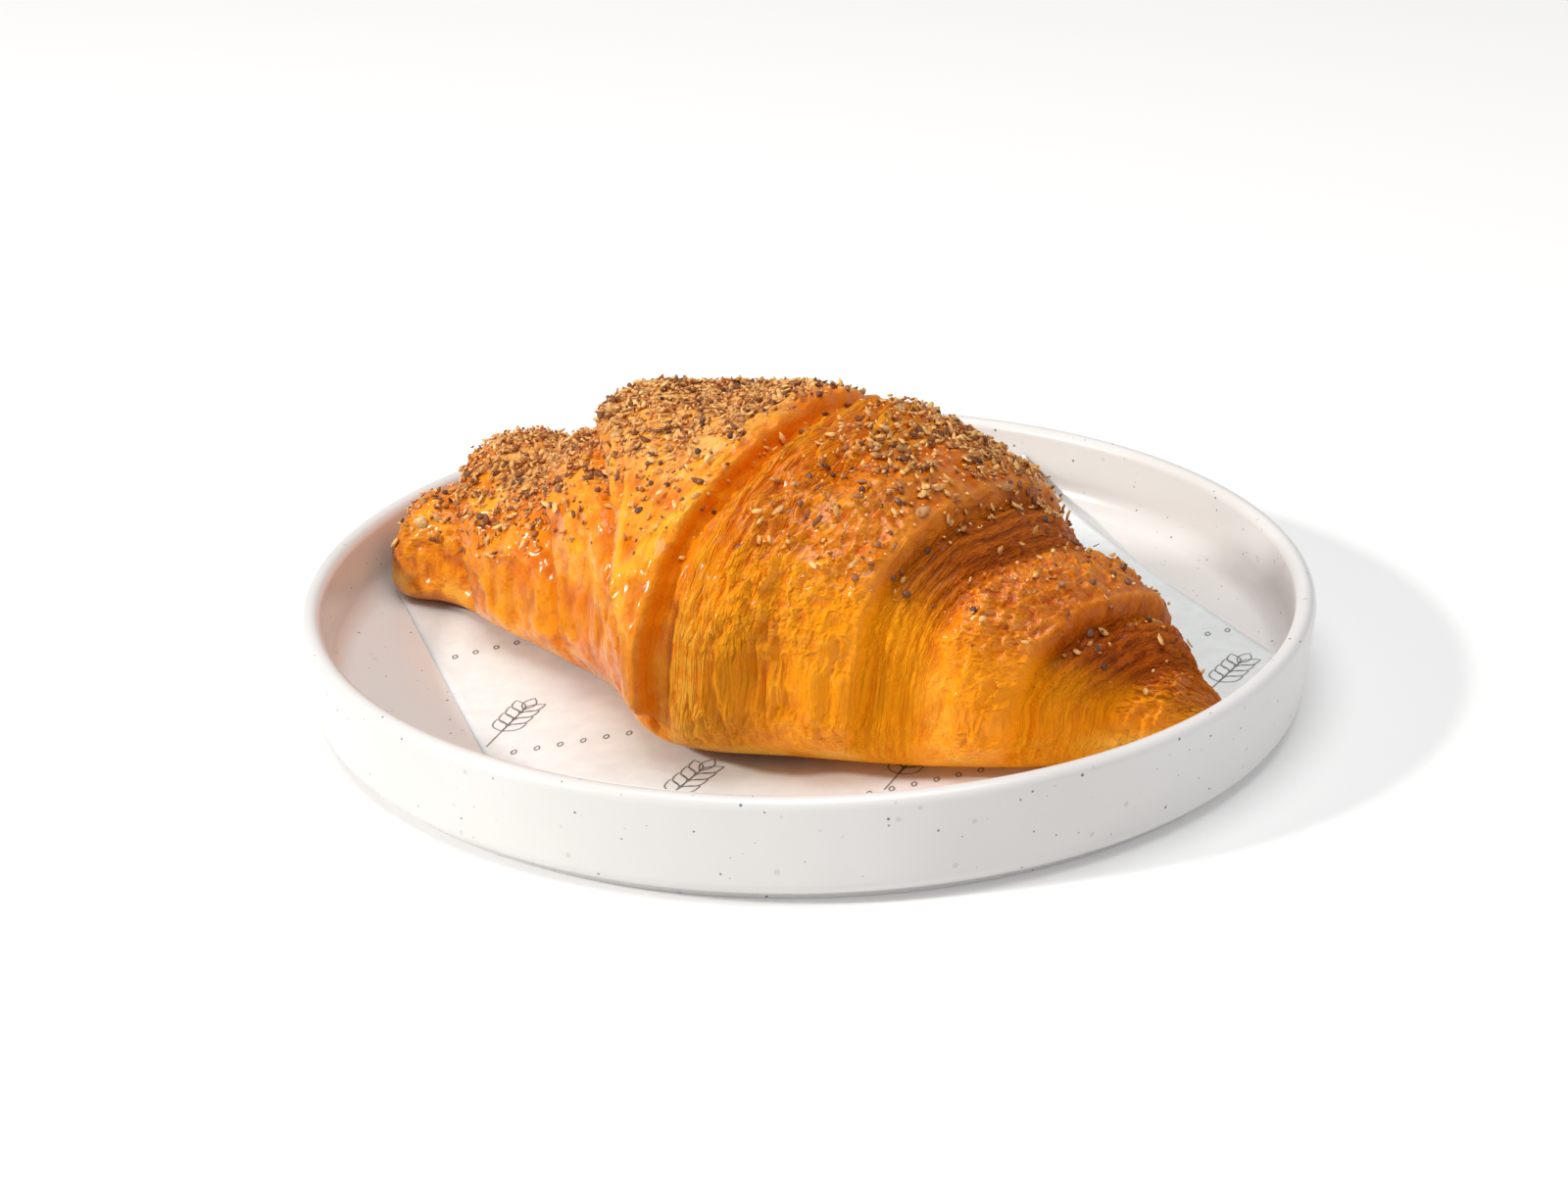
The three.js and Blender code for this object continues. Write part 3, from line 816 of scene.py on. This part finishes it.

# %% [markdown]
# ## Finish of the crust
#
# Egg wash bakes to a glossy golden skin. The valleys and creases and the crevices between the open
# leaves are painted a deeper orange as painted shade; the crests, the crinkles and a thin line past
# each falling edge are painted paler as painted highlights. The lips of the layers and the ends of
# the open leaves catch the heat and turn brown, the wraps on the right bake darker than the left
# ones, the torn dough at the foot of two edges stays creamy, and the underside is brown. The upper
# front of the left wraps is painted paler, a painted sheen, and the low right front is painted a
# brighter orange, painted light. Each of these is a mask and a tone, mixed in from the first to the
# last. Light passes through the dough, so it has subsurface scattering with a warm colour, and a
# faint warm glow low on the right front stands for light that the paper throws back into it. A coat
# gives the wash its gloss.

# %% Crust material
def baked_crust():
    shader = Shader("egg_washed_crust", Subsurface_Weight=0.07, Subsurface_Scale=1.1 * MM,
                    Subsurface_Radius=(1.0, 0.35, 0.08), Coat_Roughness=0.19, IOR=1.4,
                    Specular_IOR_Level=0.16, Specular_Tint=(1.0, 0.6, 0.2, 1),
                    Emission_Strength=0.17)
    masks = {name: shader.attribute(name) for name in crust_masks}
    along = shader.node("ShaderNodeAttribute", {"attribute_name": "roll_place"}, output="Vector")
    patches = shader.noise(75, detail=3)
    small = shader.noise(330, detail=4, roughness=0.6)
    fibres = shader.noise(1, detail=4, roughness=0.6, vector=shader.place((0.9, 0.22, 1), along))
    threads = shader.noise(1, detail=2, vector=shader.place((1.7, 0.3, 1), along))
    grit = shader.noise(1100, detail=2)
    creased = shader.noise(1, detail=2, vector=shader.place((0.42, 0.30, 1), along))
    creases = (1 - (creased - 0.5).math("ABSOLUTE") * 7).math("MAXIMUM", 0) * masks["crinkled"]
    freckles = shader.noise(620, detail=2)
    strands = shader.noise(1, detail=3, vector=shader.place((1.4, 0.07, 1), along))
    strands = (1 - (strands - 0.5).math("ABSOLUTE") * 8).math("MAXIMUM", 0)

    gold, amber, rust = (0.94, 0.33, 0.004), (0.86, 0.20, 0.002), (0.55, 0.095, 0.001)
    brown, dark, pale = (0.46, 0.115, 0.008), (0.16, 0.030, 0.003), (0.97, 0.56, 0.07)
    colour = shader.mix(patches.ramp(0.36, 0.66), gold, amber)
    # Painted shade between the leaves: this tone is low in their crevices, which it darkens, and high
    # on their lips; fibre streaks are mixed in.
    leaf_shading = masks["opened"] * 0.8 + threads.ramp(0.35, 0.70) * 0.25 + strands * 0.5
    leaf_shading = leaf_shading.math("MINIMUM", 1)
    open_leaf = shader.mix(leaf_shading, (0.62, 0.10, 0.001), (1.0, 0.42, 0.012))
    brown_leaf = shader.mix(leaf_shading, dark, (0.60, 0.145, 0.009))
    tones = (
        (fibres.ramp(0.52, 0.72) * 0.4, (0.97, 0.48, 0.03)),
        (small.ramp(0.54, 0.66) * 0.5, (0.68, 0.17, 0.006)),
        (freckles.ramp(0.60, 0.68) * 0.5, (0.50, 0.12, 0.012)),
        (masks["top"] * patches.ramp(0.7, 0.3) * 0.75, (0.74, 0.26, 0.035)),
        # Painted sheen: paler patches on the upper front of the left wraps.
        (masks["painted_sheen"] * patches.ramp(0.2, 0.55) * 0.75, (0.97, 0.56, 0.18)),
        (masks["toasted"] * (small.ramp(0.3, 0.7) * 0.5 + 0.35), (0.52, 0.145, 0.008)),
        # Painted shade in the hollows, then painted highlight on the crests.
        (masks["relief_shading"].ramp(0.55, 0.22) * 0.8, rust),
        (masks["relief_shading"].ramp(0.5, 0.9) * 0.7, (0.99, 0.50, 0.025)),
        (masks["crinkled"] * 0.35, (0.76, 0.20, 0.003)),
        # Painted highlight: bright lines along the crinkles.
        (creases * 0.6, (1.0, 0.48, 0.02)),
        # Painted shade in the valleys, creases and the dent.
        ((masks["crease_shade"] * 0.9).math("MINIMUM", 0.85), (0.76, 0.175, 0.001)),
        (masks["leafy"] * 0.8, open_leaf),
        (masks["browned"] * 0.9, brown_leaf),
        ((masks["lip"] * freckles.ramp(0.35, 0.55) * 0.5).math("MINIMUM", 0.8), brown),
        # Painted highlight along the falling edges.
        (masks["edge_highlight"] * 0.4, (0.93, 0.42, 0.06)),
        # Painted light: a brighter orange on the low right front.
        (masks["painted_glow"] * patches.ramp(0.25, 0.6) * 0.7, (1.0, 0.37, 0.003)),
        (masks["cream"] * small.ramp(0.35, 0.6) * 0.7, (0.95, 0.50, 0.06)),
    )
    for mask, tone in tones:
        colour = shader.mix(mask, colour, tone)
    colour = shader.mix(masks["late"], colour, (0.88, 0.64, 0.42), "MULTIPLY")
    pale_foot = masks["low"] * (1 - masks["low"]) * 4 * patches.ramp(0.42, 0.58)
    colour = shader.mix(pale_foot * 0.6, colour, pale)
    colour = shader.mix(masks["low"] ** 4 * small.ramp(0.30, 0.62) * 0.7, colour, brown)

    gloss = (1 - masks["leafy"] * 0.8) * (1 - masks["crease_shade"]).math("MAXIMUM", 0)
    height = small * 0.9 + fibres * 0.9 + grit * 0.22 + creases * 0.9
    height = height + (threads * 1.5 + strands * 0.9) * masks["leafy"]
    return shader.surface(
        Base_Color=colour,
        Roughness=small * 0.2 + masks["leafy"] * 0.2 + 0.28,
        Emission_Color=shader.mix(masks["lit_low"], (0, 0, 0), (1.0, 0.33, 0.005)),
        Coat_Weight=gloss * small.ramp(0.72, 0.42) * (1 - masks["painted_glow"] * 0.6),
        Normal=shader.bump(height, 0.65 * MM, 0.8),
    )


croissant = finish_piece("croissant_crust", crust_mesh, baked_crust(), ["croissant"])
print("croissant, mm:", [round(c / MM, 1) for c in croissant.dimensions])

# %% [markdown]
# ## Where the topping lies
#
# The topping was scattered by hand before baking: thick on top and at the back, thin towards the
# front, and hardly any on the steep leaves beside the middle edge and the next one. `cover` gives
# its thickness from 0 to about 1 at each place of the crust, and `scatter` draws places until
# enough of them pass that share. The draws come from a seeded generator, so the croissant is the
# same on every run.

# %% Scattering
TRIES = 4000


def cover(s, angle):
    """How much topping lies at a place of the crust, and how clear the place is of steep leaves."""
    degrees = np.degrees(angle)
    after = [s - at + slant * np.cos(angle - EDGE_TURN) for at, slant, _ in FALLING[:2]]
    recess = np.maximum(bump_at(after[0], 7, 7), 0.85 * bump_at(after[1], 5, 5))
    front_limit = np.interp(s, (15, 50, 62, 85, 100), (178, 178, 164, 148, 128))
    left = (0.7 * smooth(s, 2, 24) + 0.3 * smooth(s, 50, 70)) * smooth(s, 103, 96)
    left *= smooth(degrees, front_limit, front_limit - 85)
    right = smooth(s, 103, 113) * smooth(s, 150, 140) * smooth(degrees, 122, 78)
    clumps = 0.62 + 0.6 * noise(np.column_stack([s, MEAN_RADIUS * angle]), 6, 31, 2)
    back_limit = smooth(degrees, 8, 40)
    return (left + 0.85 * right) * clumps * back_limit * (1 - recess), 1 - recess


def scatter(count, thin, thick, seed):
    """Random places on the crust; thin and thick are the chances on dusted and on covered crust."""
    rng = np.random.default_rng(seed)
    s, angle = np.empty(0), np.empty(0)
    while len(s) < count:
        try_s = rng.uniform(4, ROLL_LENGTH - 6, TRIES)
        try_angle = np.radians(rng.uniform(5, 168, TRIES))
        girth = section(2, try_s) / SECTIONS[:, 2].max()
        dusted = smooth(np.degrees(try_angle), 165, 130) * smooth(try_s, 185, 165)
        covered, clear = cover(try_s, try_angle)
        share = (thin * dusted * clear + thick * covered) * girth
        keep = rng.random(TRIES) < share
        s, angle = np.append(s, try_s[keep]), np.append(angle, try_angle[keep])
    return s[:count], angle[:count], rng


print("cover on top, 85 mm along:", cover(np.array([85.0]), np.array([math.pi / 2]))[0].round(2))

# %% [markdown]
# ## Many copies in one mesh
#
# Thousands of separate objects would be slow, so each kind of topping is one mesh. `crust_frames`
# finds the crust's point and its directions at each place, and `copies` sets a turned, tilted and
# scaled copy of a small shape there. The random numbers come from the generator that drew the
# places.

# %% Copies
def crust_frames(s, angle, proud):
    """Points just above the crust, and the directions along, round and out of it at each one."""
    step_s, step_angle = 0.6, 0.6 / MEAN_RADIUS
    centre, _ = crust(s, angle, proud)
    along = crust(s + step_s, angle)[0] - crust(s - step_s, angle)[0]
    around = crust(s, angle + step_angle)[0] - crust(s, angle - step_angle)[0]
    out = np.cross(around, along)
    out /= np.linalg.norm(out, axis=1, keepdims=True)
    along -= out * (along * out).sum(1, keepdims=True)
    along /= np.linalg.norm(along, axis=1, keepdims=True)
    return centre, np.stack([along, np.cross(out, along), out], 2)


def copies(name, shape, s, angle, rng, sizes, lift, tilt):
    """One mesh with a turned, tilted and scaled copy of a small shape at each place."""
    bmesh.ops.triangulate(shape, faces=shape.faces)
    corners = np.array([v.co for v in shape.verts])
    shape.verts.index_update()
    triangles = np.array([[v.index for v in face.verts] for face in shape.faces])
    shape.free()
    count = len(s)
    spin, lean = rng.uniform(0, 2 * math.pi, count), rng.normal(0, tilt, count)
    zero, one = np.zeros(count), np.ones(count)
    turned = np.array([[np.cos(spin), -np.sin(spin), zero], [np.sin(spin), np.cos(spin), zero],
                       [zero, zero, one]]).transpose(2, 0, 1)
    leaned = np.array([[np.cos(lean), zero, np.sin(lean)], [zero, one, zero],
                       [-np.sin(lean), zero, np.cos(lean)]]).transpose(2, 0, 1)
    centre, frame_axes = crust_frames(s, angle, lift * rng.random(count))
    scale = np.array(sizes)[None] * MM * rng.uniform(0.75, 1.2, (count, 3))
    scale *= rng.uniform(0.6, 1.3, (count, 1))
    placed = (frame_axes @ turned @ leaned) @ (corners.T[None] * scale[:, :, None])
    points = placed.transpose(0, 2, 1) + centre[:, None]
    faces = triangles[None] + len(corners) * np.arange(count)[:, None, None]
    mesh = bpy.data.meshes.new(name)
    mesh.from_pydata(points.reshape(-1, 3), [], faces.reshape(-1, 3).tolist())
    tint = mesh.attributes.new("tint", "FLOAT", "POINT")
    tint.data.foreach_set("value", np.repeat(rng.random(count), len(corners)).astype(np.float32))
    return mesh


# %% [markdown]
# ## Pieces of the topping
#
# Za'atar is a mix of dried, rubbed herbs, toasted sesame and sumac. Four small shapes are enough:
# a pointed seed, a cracked sumac grain, a flat scrap of leaf and a crumb. Each has 20 to 80 faces,
# because it is repeated hundreds of times. Its colour comes from a random tint, which every
# copy stores as an attribute.

# %% Topping materials
def spice(name, colours, roughness, coat=0.0):
    """A material that runs through a few colours by each copy's tint, with a little mottling."""
    shader = Shader(name, Coat_Roughness=0.25)
    tint = shader.attribute("tint")
    colour = colours[0]
    for i, nearer in enumerate(colours[1:]):
        at = (i + 1) / len(colours)
        colour = shader.mix(tint.ramp(at - 0.06, at + 0.06), colour, nearer)
    mottled = shader.noise(1500, detail=2)
    colour = shader.mix(mottled.ramp(0.45, 0.7) * 0.35, colour, (0.10, 0.045, 0.015))
    return shader.surface(Base_Color=colour, Roughness=mottled * 0.2 + roughness,
                          Coat_Weight=mottled.ramp(0.7, 0.3) * coat,
                          Normal=shader.bump(mottled, 0.15 * MM, 0.5))


# %% [markdown]
# ## Sesame seeds
#
# A toasted seed is a flat drop, 3 mm long. A ball is narrowed towards one end and then scaled. The
# seeds stand for the single seeds of the CAD model, whose names the frame gives.

# %% Sesame seeds
seed = bmesh.new()
bmesh.ops.create_icosphere(seed, subdivisions=2, radius=0.5)
for vert in seed.verts:
    vert.co.y *= 1 - 0.55 * vert.co.x
spots = scatter(170, 0.04, 0.5, 3)
seed_mesh = copies("sesame_seeds", seed, *spots, (3.0, 1.9, 0.95), 0.5, 0.25)
SEED_NODES = [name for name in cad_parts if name.startswith("sesame_seed")]
sesame = spice("toasted_sesame", ((0.50, 0.22, 0.06), (0.66, 0.34, 0.10), (0.78, 0.48, 0.18)),
               0.4, 0.3)
finish_piece("sesame_seeds", seed_mesh, sesame, SEED_NODES)

# %% [markdown]
# ## Sumac grains
#
# Sumac is a dried berry, cracked into dark red, angular grains. A ball whose points are pushed in
# and out in turn looks cracked at this size.

# %% Sumac grains
grain_shape = bmesh.new()
bmesh.ops.create_icosphere(grain_shape, subdivisions=2, radius=0.5)
for i, vert in enumerate(grain_shape.verts):
    vert.co *= 1 + 0.16 * math.sin(5.1 * i)
spots = scatter(520, 0.16, 0.5, 5)
grain_mesh = copies("sumac_grains", grain_shape, *spots, (1.35, 1.15, 0.95), 0.45, 0.5)
sumac = spice("dark_sumac", ((0.09, 0.035, 0.025), (0.17, 0.06, 0.03), (0.28, 0.095, 0.04),
                             (0.40, 0.15, 0.05)), 0.45, 0.2)
finish_piece("sumac_grains", grain_mesh, sumac)

# %% [markdown]
# ## Herb flakes
#
# Rubbed herbs are flat scraps of leaf, curled at their ends. A thin disc of seven corners is made
# uneven and bent up. The flakes and the crumbs cover the crust as the
# two patches of topping in the CAD model do, which the flakes stand for.

# %% Herb flakes
flake = bmesh.new()
bmesh.ops.create_circle(flake, cap_ends=True, segments=7, radius=0.5)
raised = bmesh.ops.extrude_face_region(flake, geom=flake.faces[:])["geom"]
bmesh.ops.translate(flake, verts=[v for v in raised if isinstance(v, bmesh.types.BMVert)],
                    vec=(0.04, 0.02, 1))
for i, vert in enumerate(flake.verts):
    vert.co.x *= 1 + 0.25 * math.sin(3.7 * (i % 7))
    vert.co.z += 1.6 * vert.co.x**2
bmesh.ops.recalc_face_normals(flake, faces=flake.faces)
spots = scatter(3300, 0.05, 0.95, 7)
flake_mesh = copies("herb_flakes", flake, *spots, (1.9, 0.9, 0.3), 1.2, 0.45)
herbs = spice("dried_herbs", ((0.22, 0.075, 0.02), (0.56, 0.22, 0.05), (0.84, 0.42, 0.125),
                              (0.98, 0.58, 0.20), (0.76, 0.38, 0.11)), 0.6)
finish_piece("herb_flakes", flake_mesh, herbs,
             ["zaatar_topping_left", "zaatar_topping_right"])

# %% [markdown]
# ## Crumbs
#
# Dust and broken bits fill the gaps between the flakes. They are so small that a ball of twenty
# faces is enough.

# %% Crumbs
crumb = bmesh.new()
bmesh.ops.create_icosphere(crumb, subdivisions=1, radius=0.5)
spots = scatter(3700, 0.08, 0.9, 11)
crumb_mesh = copies("spice_crumbs", crumb, *spots, (0.85, 0.65, 0.5), 1.2, 0.6)
crumbs = spice("spice_crumbs", ((0.28, 0.09, 0.03), (0.66, 0.28, 0.07), (0.90, 0.46, 0.14),
                                (0.98, 0.62, 0.23)), 0.6)
finish_piece("spice_crumbs", crumb_mesh, crumbs)
